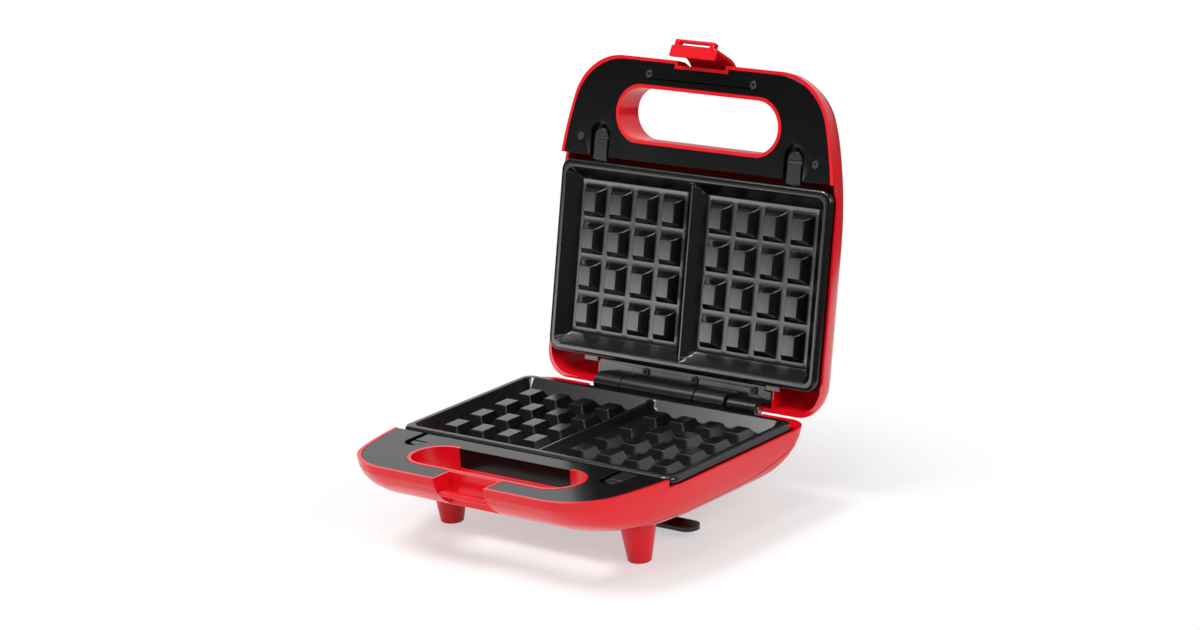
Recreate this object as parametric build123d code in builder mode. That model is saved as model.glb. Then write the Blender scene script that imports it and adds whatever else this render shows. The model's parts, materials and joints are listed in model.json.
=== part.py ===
from build123d import *
from math import atan2, cos, degrees, radians, sin, sqrt
import os

# Counter-top snack maker with a hinged lid and lift-out baking plates, standing open.
# Millimetres, +X to the right, -Y to the front, +Z up. Every piece is first drawn
# in the shut position with the hinge axis above y = 0 and the floor at z = 0.
# The lid's pieces are then swung open, and all are slid along Y so that the
# origin lies under the middle of the whole object.

# Body: plan outline of both halves
HALF_WIDTH = 118.0          # half of the body's width at the plates
FRONT_REACH = 227.5         # from the hinge axis to the front edge
FRONT_CORNER_R = 41.6       # front corners, seen from above
SIDE_BOW_R = 288.0          # long arc that draws the sides in towards the front
SIDE_STRAIGHT = 0.608       # share of the side, from the rear corner, that is straight
REAR_CORNER_R = 18.0
WALL = 2.3                  # moulded wall

# Body: heights
PARTING_Z = 64.0            # plane where lid and base meet
HALF_GAP = 0.3              # each half stays this far from the parting plane
RIM_STEP = 5.3              # the rim drops by this beside the plates
STEP_Y = -156.0             # front end of that step
BASE_DEPTH = 33.7           # from the base's rim to its underside
BASE_SIDE_ROUND = 16.0      # how far the base's underside draws in at the sides
BASE_FRONT_ROUND = 68.0     # and at the front
BASE_REAR_ROUND = 45.0      # and at the rear
SECTION_ANGLES = (0, 10, 20, 31, 42, 53, 64, 75, 90)   # sections through the rounding, in degrees
LID_DEPTH = 30.0            # from the lid's rim to its top
# Lid sections: share of the depth, then side, front and rear inset
LID_SECTIONS = (
    (0.0, 0.0, 0.0, -2.8),
    (0.27, 0.7, 1.0, -2.2),
    (0.47, 2.2, 3.5, -0.4),
    (0.62, 4.0, 11.0, 2.6),
    (0.73, 6.1, 36.0, 5.6),
    (0.80, 7.7, 57.0, 8.3),
    (0.87, 9.7, 80.0, 11.5),
    (0.925, 12.0, 99.0, 15.0),
    (0.965, 14.3, 118.0, 18.0),
    (1.0, 19.0, 150.0, 25.0),
)

# Hinge
HINGE_Z = 60.6
OPEN_ANGLE = 102.2          # how far the lid leans open at rest
PIN_R = 2.5
RUNNING_GAP = 0.05          # radial, between a pin and a part that turns on it
KNUCKLE_R = 7.5
KNUCKLE_GAP = 1.0           # between neighbouring knuckles
LEFT_KNUCKLE = (-63.0, -41.0)
MIDDLE_KNUCKLE = (-40.0, 22.0)
RIGHT_KNUCKLE = (23.0, 48.0)
SLEEVE_SPAN = (49.5, 73.0)
SLEEVE_R = 5.2
POCKET_LEFT = -71.5         # hinge pocket between these two walls
POCKET_RIGHT = 76.5
BRACKET_THICK = 3.0
SWING_GAP = 0.8             # between a knuckle and what it passes
BRACKET_Z = 55.4            # underside of the base's bracket
LID_BRACKET_Z = 69.6
LUG_NOTCH_X = 71.0          # the brackets leave room for the plate's lug from here
STOP_SPAN = (-36.0, 18.0)   # the opened lid leans on this stop
STOP_PROFILE = ((-2, 54.5), (-2, 50.8), (2, 46.5), (10, 46.5), (12.7, 50), (12.7, 55.4), (9, 55.6), (5, 54.6))
WEB_PROFILE = ((-7.5, 60.6), (0, 60.6), (0, 69.2), (-3.6, 69.2), (-3.6, 72.6), (-7.5, 72.6))
BRACKET_REAR_Y = -3.6
HINGE_SCREWS = ((-30.0, -10.8), (12.0, -10.8), (62.0, -10.8))
HINGE_BOSS_R = 3.5

# Handle slot through the front of both halves
SLOT_Y = -188.5
SLOT_HALF_LENGTH = 70.0
SLOT_HALF_HEIGHT = 20.5
SLOT_LIP = 2.5              # red lip round the slot
APRON_HALF = 46.5           # black apron at the back of the base's slot
APRON_DROP = 13.0

# Black panels in both halves
PANEL_THICK = 2.0
PANEL_MARGIN = 2.5          # red rim left round the panel
PANEL_SINK = 0.2
FIT_GAP = 0.2               # between pieces that are set into each other

# Latch notch and bar in the base, latch on the lid
NOTCH_HALF = 21.0
NOTCH_BACK_Y = -211.0
NOTCH_WALL = 1.4
BAR_Y = (-222.8, -219.0)
BAR_Z = (50.5, 54.6)
LATCH_HALF = 19.0
LATCH_ARC_Y = -209.1        # centre of the latch's curved plate, at the lid's rim
LATCH_ARC_R = 19.1
LATCH_THICK = 2.4
LATCH_PIVOT_Y = -212.5
LATCH_PIVOT_RISE = 15.5     # pivot above the lid's rim
LATCH_BARREL_R = 3.4
LATCH_PIN_R = 1.5
LATCH_DROP = 14.7           # underside of the lip's upper face, below the lid's rim
LATCH_LIP = 2.6
LATCH_LIP_REACH = 7.8
LATCH_OUT_ANGLE = 20.0      # the latch rests swung out by this
LATCH_RECESS_R = 15.2       # curved wall of the lid behind the latch
LOOP_HALF = 16.5            # finger loop at the latch's foot
LOOP_Y = (-232.5, -227.5)
LOOP_Z = (46.3, 51.3)

# Baking plates
PLATE_HALF_WIDTH = 115.0
PLATE_FRONT_Y = -152.5
PLATE_REAR_Y = -16.0
PLATE_Y = (PLATE_FRONT_Y, PLATE_REAR_Y)
PLATE_CORNER_R = 9.0
PLATE_EDGE_R = 3.0          # rounded outer shoulder
LAND_OUT = 3.0              # from the plate's outside to the flat top of its rim
LAND_WIDTH = 2.6
FLANGE_DEPTH = 6.2
PAN_HALF_WIDTH = 107.0
PAN_Y = (-146.0, -22.5)
PLATE_DEPTH = 11.5
FLOOR_DEPTH = 8.8
FLOOR_X = (7.9, 101.0)      # each half's floor
FLOOR_Y = (-139.5, -30.7)
DIVIDER_HALF = 0.9
DIVIDER_SINK = 1.0
STUD_PITCH_X = 22.8
STUD_PITCH_Y = 26.1
STUD_BASE = (17.8, 21.7)
STUD_TOP = (10.2, 14.0)
STUD_HEIGHT = 6.8
STUD_COUNT = 4
LUG_WIDTH = 10.0
LUG_REACH = 3.1
LUG_THICK = 2.2
LUG_Z = 57.7                # underside of the base plate's lugs
REAR_LUG_X = 78.0
REAR_LUG_WIDTH = 12.0

# Release levers
LEVER_X = 82.25
LEVER_HALF = 6.0
LEVER_FRONT_Y = -175.5
LEVER_REAR_Y = -153.4
LEVER_THICK = 2.2
LEVER_TRAVEL = 4.0
RECESS_HALF = 8.0
RECESS_DEPTH = 3.6
RECESS_FLOOR = 1.3
GROOVE_Y = -168.5
RIB_Y = (-172.0, -166.0)    # rib under the lever
STOP_Y = (-180.5, -178.7)   # post in front of that rib

# Heaters and what carries them
TRAY_SHEET = 1.0
TRAY_HALF_WIDTH = 108.4
TRAY_Y = (-148.0, -19.2)
TRAY_FLOOR_Z = 44.0
ELEMENT_R = 3.25
ELEMENT_CLEAR = 0.05
ELEMENT_X = 84.0
ELEMENT_Y = (-128.0, -44.0)
ELEMENT_BEND_R = 7.0
ELEMENT_TAIL_X = 14.0
ELEMENT_TAIL_Y = -30.0
POST_R = 4.0
POST_X = 88.0
POST_Y = (-130.0, -40.0)

# Feet, cord winder and what is under the base
FOOT_X = 79.7
FOOT_Y = -145.0
FOOT_TIP_R = 7.8
FOOT_TAPER = 0.172          # growth of the foot's radius with its height
REAR_FOOT_HALF = 38.0
REAR_FOOT_Y = (-44.0, -22.0)
HORN_REACH = 88.0
HORN_Y = (-101.0, -85.0)
HORN_Z = (6.0, 9.0)
STEM_HALF = 30.0
DECK_THICK = 2.4
COVER_EDGE_Z = 35.5         # seam of the bottom cover along the sides
SEAM_GAP = 0.6

# Cord outlet, lamps and screws
GLAND_X = -48.0
GLAND_Z = 42.0
GLAND_Y = (-18.0, 0.6)
GLAND_R = 7.0
GLAND_BOSS_R = 10.0
GLAND_FLANGE_R = 9.5
GLAND_BORE_R = 3.8
LAMPS = ((-12.0, -140.0), (12.0, -140.0))
LAMP_R = 4.0
LAMP_Z = (86.0, 92.5)
SCREW_R = 2.8
SCREW_HEAD = 1.2
SCREW_SHANK_R = 1.4
SCREW_HOLE_R = 1.45
LID_SCREW_SPOTS = ((-44.1, -216.5), (44.1, -216.5), (-99.7, -168.3), (99.7, -168.3))
WINDER_SCREWS = ((-22.0, -92.0), (22.0, -92.0), (-22.0, -52.0), (22.0, -52.0))
WINDER_BOSS_Z = 38.0
FRONT_COVER_SCREWS = ((-52.0, -165.2), (52.0, -165.2))
REAR_COVER_SCREWS = ((-98.0, -12.5), (98.0, -12.5))
COVER_BOSS_R = 5.0
COVER_BOSS_Z = 48.0
COVER_SEAT_Z = 46.3

RIM_Z = PARTING_Z - HALF_GAP
LID_RIM_Z = PARTING_Z + HALF_GAP
LOW_RIM_Z = RIM_Z - RIM_STEP
UNDERSIDE_Z = RIM_Z - BASE_DEPTH
LID_TOP_Z = LID_RIM_Z + LID_DEPTH
LID_LOW_Z = LID_RIM_Z + RIM_STEP
PANEL_TOP_Z = RIM_Z - PANEL_SINK
LID_PANEL_Z = LID_RIM_Z + PANEL_SINK
UPPER_TRAY_TOP_Z = 2 * PARTING_Z - TRAY_FLOOR_Z
COVER_TOP_Z = LOW_RIM_Z - DECK_THICK - FIT_GAP
SEAT_Z = UNDERSIDE_Z - 0.05
FOOT_TOP_R = FOOT_TIP_R + FOOT_TAPER * SEAT_Z
PARTING_PLANE = Plane.XY.offset(PARTING_Z)
HINGE_AXIS = Axis((0, 0, HINGE_Z), (1, 0, 0))
BIG = 400.0

base_pieces = []
lid_pieces = []


def keep(piece, label, pieces):
    """Name a finished piece and put it with the base's or the lid's pieces."""
    piece.label = label
    pieces.append(piece)


def box_between(low, high, mode=Mode.ADD):
    """A block between two corners."""
    centre = [(a + b) / 2 for a, b in zip(low, high)]
    with Locations(tuple(centre)):
        Box(*[b - a for a, b in zip(low, high)], mode=mode)


def body_outline(side, front, rear):
    """Plan outline of the body, drawn in by the three insets."""
    half = HALF_WIDTH - side
    reach = FRONT_REACH - front
    corner = FRONT_CORNER_R * (1 + reach / FRONT_REACH) / 2
    rear_corner = REAR_CORNER_R - rear / 8
    rear_end = rear + rear_corner
    straight_end = rear_end + SIDE_STRAIGHT * (reach - corner - rear_end)
    bow_x = half - SIDE_BOW_R
    corner_y = -(reach - corner)
    rise = -corner_y - straight_end
    corner_x = bow_x + sqrt((SIDE_BOW_R - corner) ** 2 - rise**2)
    bow = degrees(atan2(rise, corner_x - bow_x))
    with BuildSketch() as outline:
        with BuildLine():
            Line((0, -reach), (corner_x, -reach))
            CenterArc((corner_x, corner_y), corner, -90, 90 - bow)
            CenterArc((bow_x, -straight_end), SIDE_BOW_R, -bow, bow)
            Line((half, -straight_end), (half, -rear - rear_corner))
            CenterArc((half - rear_corner, -rear - rear_corner), rear_corner, 0, 90)
            Line((half - rear_corner, -rear), (0, -rear))
            mirror(about=Plane.YZ)
        make_face()
    return outline.sketch


def body_form(levels, ruled=False):
    """Solid through a stack of plan outlines, each a height and three insets."""
    outlines = [(height, body_outline(*insets)) for height, *insets in levels]
    with BuildPart() as form:
        for height, outline in outlines:
            with BuildSketch(Plane.XY.offset(height)):
                add(outline)
        loft(ruled=ruled)
    return form.part


def base_levels(inset):
    """The base's sections, from its rim down, drawn in by a wall's thickness."""
    levels = []
    for angle in SECTION_ANGLES:
        round_in = 1 - cos(radians(angle))
        height = RIM_Z - (BASE_DEPTH - inset) * sin(radians(angle))
        levels.append((
            height,
            inset + BASE_SIDE_ROUND * round_in,
            inset + BASE_FRONT_ROUND * round_in,
            inset + BASE_REAR_ROUND * round_in,
        ))
    return levels


def lid_levels(inset):
    """The lid's sections, from its rim up."""
    return [
        (LID_RIM_Z + (LID_DEPTH - inset) * share, inset + side, inset + front, inset + rear)
        for share, side, front, rear in LID_SECTIONS
    ]


def slot_outline(grow):
    """The rounded handle slot, grown outwards."""
    with BuildSketch() as outline:
        with Locations((0, SLOT_Y)):
            SlotOverall(2 * (SLOT_HALF_LENGTH + grow), 2 * (SLOT_HALF_HEIGHT + grow))
    return outline.sketch


def column(outline, low, high, mode=Mode.ADD):
    """Extrude a plan outline between two heights."""
    extrude(outline.moved(Location((0, 0, low))), amount=high - low, mode=mode)


def side_prism(points, x_low, x_high, mode=Mode.ADD):
    """Extrude an outline of (y, z) points along X."""
    with BuildSketch(Plane.YZ.offset(x_low)) as profile:
        with BuildLine():
            Polyline(*points, close=True)
        make_face()
    extrude(profile.sketch, amount=x_high - x_low, mode=mode)


def rod(y, z, radius, x_low, x_high, mode=Mode.ADD):
    """A round bar along X."""
    with BuildSketch(Plane.YZ.offset(x_low)) as profile:
        with Locations((y, z)):
            Circle(radius)
    extrude(profile.sketch, amount=x_high - x_low, mode=mode)


def rod_along_y(x, z, radius, y_low, y_high, mode=Mode.ADD):
    """A round bar along Y."""
    with BuildSketch(Plane.XZ.offset(-y_high)) as profile:
        with Locations((x, z)):
            Circle(radius)
    extrude(profile.sketch, amount=y_high - y_low, mode=mode)


def upright(spots, radius, low, high, mode=Mode.ADD):
    """Upright round posts at plan positions."""
    with BuildSketch(Plane.XY.offset(low)) as section:
        with Locations(*spots):
            Circle(radius)
    extrude(section.sketch, amount=high - low, mode=mode)


def rounded_plan(x_span, y_span, radius):
    """A plan rectangle with rounded corners."""
    with BuildSketch() as plan:
        with Locations((sum(x_span) / 2, sum(y_span) / 2)):
            RectangleRounded(x_span[1] - x_span[0], y_span[1] - y_span[0], radius)
    return plan.sketch


def tongue(x, half, front_y, rear_y):
    """A plan strip along Y with a round front end."""
    with BuildSketch() as outline:
        with Locations((x, front_y + half)):
            Circle(half)
        with Locations((x, (front_y + half + rear_y) / 2)):
            Rectangle(2 * half, rear_y - front_y - half)
    return outline.sketch


base_outer = body_form(base_levels(0), ruled=True)
base_inner = body_form(base_levels(WALL), ruled=True)
lid_outer = body_form(lid_levels(0), ruled=True)
lid_inner = body_form(lid_levels(WALL), ruled=True)


def cover_region(shift):
    """What lies below and behind the seam between the base shell and its cover."""
    with BuildPart() as region:
        with BuildSketch(Plane.YZ.offset(-BIG)):
            with BuildLine():
                flat = Line((-BIG, COVER_EDGE_Z - shift), (-85, COVER_EDGE_Z - shift))
                sweep_up = Spline(
                    flat @ 1,
                    (-32.5 + shift, 43.6 - shift),
                    (-12 + shift, LOW_RIM_Z),
                    tangents=((1, 0), (0.25, 1)),
                )
                Polyline(sweep_up @ 1, (BIG, LOW_RIM_Z), (BIG, -BIG), (-BIG, -BIG), flat @ 0)
            make_face()
        extrude(amount=2 * BIG)
    return region.part


slot_outer = slot_outline(0)
slot_hole = slot_outline(-SLOT_LIP)
slot_clear = slot_outline(FIT_GAP)
cover_side = cover_region(0)
cover_area = cover_region(SEAM_GAP)
panel_outline = body_outline(PANEL_MARGIN, PANEL_MARGIN, PANEL_MARGIN)
panel_room = body_outline(PANEL_MARGIN - 0.1, PANEL_MARGIN - 0.1, PANEL_MARGIN - 0.1)
plate_clear = rounded_plan(
    (-PLATE_HALF_WIDTH - 0.5, PLATE_HALF_WIDTH + 0.5),
    (PLATE_FRONT_Y - 0.5, PLATE_REAR_Y + 0.5),
    PLATE_CORNER_R + 0.5,
)
sides = (-1, 1)
tubs = {s: tongue(s * LEVER_X, RECESS_HALF + 1.3, -181.6, STEP_Y) for s in sides}
recesses = {s: tongue(s * LEVER_X, RECESS_HALF, -180.3, STEP_Y + 5) for s in sides}

# Base shell

with BuildPart() as slot_tube:
    column(slot_outer, UNDERSIDE_Z, RIM_Z)
    add(base_outer, mode=Mode.INTERSECT)

with BuildPart() as base_bosses:
    upright(LID_SCREW_SPOTS, POST_R, UNDERSIDE_Z, PANEL_TOP_Z - PANEL_THICK)
    upright(FRONT_COVER_SCREWS, POST_R, UNDERSIDE_Z, 55)
    add(base_outer, mode=Mode.INTERSECT)

with BuildPart() as latch_bar:
    box_between((-NOTCH_HALF, BAR_Y[0], BAR_Z[0]), (NOTCH_HALF, BAR_Y[1], BAR_Z[1]))
    fillet(latch_bar.edges().filter_by(Axis.X), 1.0)

deck_y = PLATE_REAR_Y + 0.8
with BuildPart() as deck:
    box_between((-HALF_WIDTH, deck_y, LOW_RIM_Z - DECK_THICK), (HALF_WIDTH, 0, LOW_RIM_Z))
    add(base_outer, mode=Mode.INTERSECT)

with BuildPart() as panel_seat:
    column(panel_room, PANEL_TOP_Z - PANEL_THICK, BIG)
    column(slot_outer, 0, BIG, mode=Mode.SUBTRACT)
    box_between(
        (-NOTCH_HALF - NOTCH_WALL, -BIG, 0),
        (NOTCH_HALF + NOTCH_WALL, NOTCH_BACK_Y + NOTCH_WALL, BIG),
        mode=Mode.SUBTRACT,
    )
    box_between((-BIG, STEP_Y, 0), (BIG, BIG, BIG), mode=Mode.SUBTRACT)

with BuildPart() as base_shell:
    add(base_outer)
    add(base_inner, mode=Mode.SUBTRACT)
    add(slot_tube.part)
    add(base_bosses.part)
    box_between(
        (-NOTCH_HALF - NOTCH_WALL, -BIG, 0),
        (NOTCH_HALF + NOTCH_WALL, NOTCH_BACK_Y + NOTCH_WALL, RIM_Z),
    )
    add(base_outer, mode=Mode.INTERSECT)
    column(slot_hole, 0, RIM_Z + 1, mode=Mode.SUBTRACT)
    add(cover_side, mode=Mode.SUBTRACT)
    add(deck.part)
    upright(REAR_COVER_SCREWS, POST_R, COVER_BOSS_Z + FIT_GAP, LOW_RIM_Z - 1)
    box_between((-NOTCH_HALF, -BIG, 0), (NOTCH_HALF, NOTCH_BACK_Y, BIG), mode=Mode.SUBTRACT)
    add(latch_bar.part)
    add(panel_seat.part, mode=Mode.SUBTRACT)
    # rim drop beside the plates
    box_between((-BIG, STEP_Y, LOW_RIM_Z), (BIG, BIG, BIG), mode=Mode.SUBTRACT)
    column(plate_clear, RIM_Z - FLANGE_DEPTH - 0.5, BIG, mode=Mode.SUBTRACT)
    # the apron of the panel replaces the top of the slot's back wall
    apron_y = SLOT_Y + SLOT_HALF_HEIGHT
    box_between(
        (-APRON_HALF - FIT_GAP, apron_y - SLOT_LIP - 1, RIM_Z - APRON_DROP - 2 * FIT_GAP),
        (APRON_HALF + FIT_GAP, apron_y + 1, BIG),
        mode=Mode.SUBTRACT,
    )
    # room for the hinge and for the plate's rear lugs
    box_between(
        (POCKET_LEFT, deck_y - 1, HINGE_Z - KNUCKLE_R - SWING_GAP), (POCKET_RIGHT, 2, BIG),
        mode=Mode.SUBTRACT,
    )
    for side in (-1, 1):
        box_between(
            (side * REAR_LUG_X - REAR_LUG_WIDTH / 2 - 1, deck_y - 1, LOW_RIM_Z - DECK_THICK - 1),
            (side * REAR_LUG_X + REAR_LUG_WIDTH / 2 + 1, PLATE_REAR_Y + LUG_REACH + 1, BIG),
            mode=Mode.SUBTRACT,
        )
    upright(REAR_COVER_SCREWS + FRONT_COVER_SCREWS, SCREW_HOLE_R, 0, 54, mode=Mode.SUBTRACT)
keep(base_shell.part, "base_shell", base_pieces)

# Bottom cover
with BuildPart() as cover_posts:
    upright([(s * POST_X, y) for s in (-1, 1) for y in POST_Y], POST_R, UNDERSIDE_Z, TRAY_FLOOR_Z)
    upright(WINDER_SCREWS, POST_R, UNDERSIDE_Z, WINDER_BOSS_Z)
    upright(REAR_COVER_SCREWS, COVER_BOSS_R, UNDERSIDE_Z, COVER_BOSS_Z)
    upright(HINGE_SCREWS, HINGE_BOSS_R, UNDERSIDE_Z, BRACKET_Z)
    add(base_outer, mode=Mode.INTERSECT)

with BuildPart() as bottom_cover:
    add(base_outer)
    add(base_inner, mode=Mode.SUBTRACT)
    add(slot_tube.part)
    column(slot_hole, 0, BIG, mode=Mode.SUBTRACT)
    add(cover_area, mode=Mode.INTERSECT)
    box_between((-BIG, -BIG, COVER_TOP_Z), (BIG, BIG, BIG), mode=Mode.SUBTRACT)
    # room for the knuckles that turn above its rear wall
    box_between((POCKET_LEFT, deck_y - 1, 52.0), (POCKET_RIGHT, 2, BIG), mode=Mode.SUBTRACT)
    add(cover_posts.part)
    rod_along_y(GLAND_X, GLAND_Z, GLAND_BOSS_R, GLAND_Y[0] + 2, GLAND_Y[1] - 3)
    rod_along_y(GLAND_X, GLAND_Z, GLAND_R + RUNNING_GAP, -BIG / 10, 10, mode=Mode.SUBTRACT)
    upright(REAR_COVER_SCREWS, SCREW_R + 0.4, 0, COVER_SEAT_Z, mode=Mode.SUBTRACT)
    upright(REAR_COVER_SCREWS + FRONT_COVER_SCREWS, SCREW_HOLE_R, 0, BIG, mode=Mode.SUBTRACT)
    upright(WINDER_SCREWS, SCREW_HOLE_R, 0, WINDER_BOSS_Z - 1.5, mode=Mode.SUBTRACT)
    upright(HINGE_SCREWS, SCREW_HOLE_R, 48, BIG, mode=Mode.SUBTRACT)
keep(bottom_cover.part, "bottom_cover", base_pieces)

# Front feet
for side, name in ((-1, "front_foot_left"), (1, "front_foot_right")):
    with BuildPart() as foot:
        with Locations((side * FOOT_X, FOOT_Y, 0)):
            Cone(FOOT_TIP_R, FOOT_TOP_R, SEAT_Z, align=(Align.CENTER, Align.CENTER, Align.MIN))
        fillet(foot.edges().sort_by(Axis.Z)[0], 1.2)
        with Locations((side * FOOT_X, FOOT_Y, WALL + 1)):
            Cone(
                FOOT_TIP_R - WALL,
                FOOT_TOP_R - WALL,
                SEAT_Z - WALL - 1,
                align=(Align.CENTER, Align.CENTER, Align.MIN),
                mode=Mode.SUBTRACT,
            )
    keep(foot.part, name, base_pieces)

# Cord winder, which is the rear foot too
horn_plan = rounded_plan((-HORN_REACH, HORN_REACH), HORN_Y, 7.9)
with BuildPart() as winder:
    box_between((-STEM_HALF, HORN_Y[0], HORN_Z[0]), (STEM_HALF, REAR_FOOT_Y[1], SEAT_Z))
    box_between((-REAR_FOOT_HALF, REAR_FOOT_Y[0], 0), (REAR_FOOT_HALF, REAR_FOOT_Y[1], SEAT_Z))
    column(horn_plan, HORN_Z[0], HORN_Z[1])
    box_between(
        (-STEM_HALF + WALL, HORN_Y[0] + WALL, HORN_Z[1]),
        (STEM_HALF - WALL, REAR_FOOT_Y[1] - WALL, BIG),
        mode=Mode.SUBTRACT,
    )
    box_between(
        (-REAR_FOOT_HALF + WALL, REAR_FOOT_Y[0] + WALL, WALL),
        (REAR_FOOT_HALF - WALL, REAR_FOOT_Y[1] - WALL, BIG),
        mode=Mode.SUBTRACT,
    )
    upright(WINDER_SCREWS, POST_R, HORN_Z[0], SEAT_Z)
    upright(WINDER_SCREWS, SCREW_HOLE_R, 0, BIG, mode=Mode.SUBTRACT)
keep(winder.part, "cord_winder", base_pieces)


def front_panel(notch_half, notch_y):
    """The black panel in front of the plate, with a recess for each release lever."""
    with BuildPart() as panel:
        column(panel_outline, PANEL_TOP_Z - PANEL_THICK, PANEL_TOP_Z)
        box_between((-BIG, STEP_Y, 0), (BIG, BIG, BIG), mode=Mode.SUBTRACT)
        column(slot_clear, 0, BIG, mode=Mode.SUBTRACT)
        box_between((-notch_half, -BIG, 0), (notch_half, notch_y, BIG), mode=Mode.SUBTRACT)
        for side in (-1, 1):
            x = side * LEVER_X
            column(tubs[side], PANEL_TOP_Z - RECESS_DEPTH - RECESS_FLOOR, PANEL_TOP_Z)
            column(recesses[side], PANEL_TOP_Z - RECESS_DEPTH, BIG, mode=Mode.SUBTRACT)
            box_between((x - 1.5, -177.5, 0), (x + 1.5, -160, BIG), mode=Mode.SUBTRACT)
            box_between((x - 3, STOP_Y[0], 54), (x + 3, STOP_Y[1], PANEL_TOP_Z - RECESS_DEPTH))
    return panel.part


# Base panel with its apron
base_panel_form = front_panel(NOTCH_HALF + NOTCH_WALL + FIT_GAP, NOTCH_BACK_Y + NOTCH_WALL + FIT_GAP)
with BuildPart() as base_panel:
    add(base_panel_form)
    box_between(
        (-APRON_HALF, apron_y - SLOT_LIP + FIT_GAP, PANEL_TOP_Z - APRON_DROP),
        (APRON_HALF, apron_y + 0.6, PANEL_TOP_Z),
    )
keep(base_panel.part, "base_panel", base_pieces)


def release_lever(x):
    """Sliding tab over the plate's front lug, with a rib that reaches its spring."""
    outline = tongue(x, LEVER_HALF, LEVER_FRONT_Y, LEVER_REAR_Y)
    low = PANEL_TOP_Z - RECESS_DEPTH + 0.3
    with BuildPart() as lever:
        column(outline, low, low + LEVER_THICK)
        fillet(lever.faces().sort_by(Axis.Z)[-1].edges(), 0.6)
        rod(GROOVE_Y, low + LEVER_THICK + 0.5, 1.3, x - 10, x + 10, mode=Mode.SUBTRACT)
        box_between((x - 1.3, RIB_Y[0], 55), (x + 1.3, RIB_Y[1], low))
    return lever.part


for side, name in ((-1, "left"), (1, "right")):
    keep(release_lever(side * LEVER_X), "lower_release_" + name, base_pieces)

# Baking plate
plate_outline = rounded_plan((-PLATE_HALF_WIDTH, PLATE_HALF_WIDTH), PLATE_Y, PLATE_CORNER_R)
pan_outline = rounded_plan((-PAN_HALF_WIDTH, PAN_HALF_WIDTH), PAN_Y, 9.5)
land_in = LAND_OUT + LAND_WIDTH
floor_z = RIM_Z - FLOOR_DEPTH
mouth_x = (0.001, PLATE_HALF_WIDTH - land_in)
mouth_y = (PLATE_FRONT_Y + land_in, PLATE_REAR_Y - land_in)

with BuildPart() as cavity:
    with BuildSketch(Plane.XY.offset(floor_z)):
        with Locations((sum(FLOOR_X) / 2, sum(FLOOR_Y) / 2)):
            RectangleRounded(FLOOR_X[1] - FLOOR_X[0], FLOOR_Y[1] - FLOOR_Y[0], 4)
    with BuildSketch(Plane.XY.offset(RIM_Z)):
        with Locations((sum(mouth_x) / 2, sum(mouth_y) / 2)):
            RectangleRounded(mouth_x[1] - mouth_x[0], mouth_y[1] - mouth_y[0], 6)
    loft(ruled=True)

with BuildPart() as stud:
    with BuildSketch(Plane.XY.offset(floor_z)):
        RectangleRounded(STUD_BASE[0], STUD_BASE[1], 3.0)
    with BuildSketch(Plane.XY.offset(floor_z + STUD_HEIGHT)):
        RectangleRounded(STUD_TOP[0], STUD_TOP[1], 2.0)
    loft(ruled=True)
    fillet(stud.faces().sort_by(Axis.Z)[-1].edges(), 1.0)

stud_centres = [
    (side * (sum(FLOOR_X) / 2 + (i - 1.5) * STUD_PITCH_X), sum(FLOOR_Y) / 2 + (j - 1.5) * STUD_PITCH_Y)
    for side in (-1, 1)
    for i in range(STUD_COUNT)
    for j in range(STUD_COUNT)
]
studs = [stud.part.moved(Location((x, y, 0))) for x, y in stud_centres]

with BuildPart() as plate:
    column(plate_outline, RIM_Z - FLANGE_DEPTH, RIM_Z)
    fillet(plate.faces().sort_by(Axis.Z)[-1].edges(), PLATE_EDGE_R)
    column(pan_outline, RIM_Z - PLATE_DEPTH, RIM_Z - FLANGE_DEPTH)
    add(cavity.part, mode=Mode.SUBTRACT)
    add(cavity.part.mirror(Plane.YZ), mode=Mode.SUBTRACT)
    box_between((-3, mouth_y[0] + 3, RIM_Z - DIVIDER_SINK), (3, mouth_y[1] - 3, BIG), mode=Mode.SUBTRACT)
    add(studs)
    for side in (-1, 1):
        box_between(
            (side * LEVER_X - LUG_WIDTH / 2, PLATE_FRONT_Y - LUG_REACH, LUG_Z),
            (side * LEVER_X + LUG_WIDTH / 2, PLATE_FRONT_Y + 3, LUG_Z + LUG_THICK),
        )
        box_between(
            (side * REAR_LUG_X - REAR_LUG_WIDTH / 2, PLATE_REAR_Y - 3, LUG_Z),
            (side * REAR_LUG_X + REAR_LUG_WIDTH / 2, PLATE_REAR_Y + LUG_REACH, LUG_Z + LUG_THICK),
        )
keep(plate.part, "lower_baking_plate", base_pieces)
keep(plate.part.mirror(PARTING_PLANE), "upper_baking_plate", lid_pieces)

# Heat tray and heating element
tray_outer = rounded_plan((-TRAY_HALF_WIDTH, TRAY_HALF_WIDTH), TRAY_Y, 12)
tray_inner = rounded_plan(
    (-TRAY_HALF_WIDTH + TRAY_SHEET, TRAY_HALF_WIDTH - TRAY_SHEET),
    (TRAY_Y[0] + TRAY_SHEET, TRAY_Y[1] - TRAY_SHEET),
    11,
)
with BuildPart() as tray:
    column(tray_outer, TRAY_FLOOR_Z, RIM_Z - FLANGE_DEPTH - FIT_GAP)
    column(tray_inner, TRAY_FLOOR_Z + TRAY_SHEET, BIG, mode=Mode.SUBTRACT)
keep(tray.part, "lower_heat_tray", base_pieces)
keep(tray.part.mirror(PARTING_PLANE), "upper_heat_tray", lid_pieces)

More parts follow.
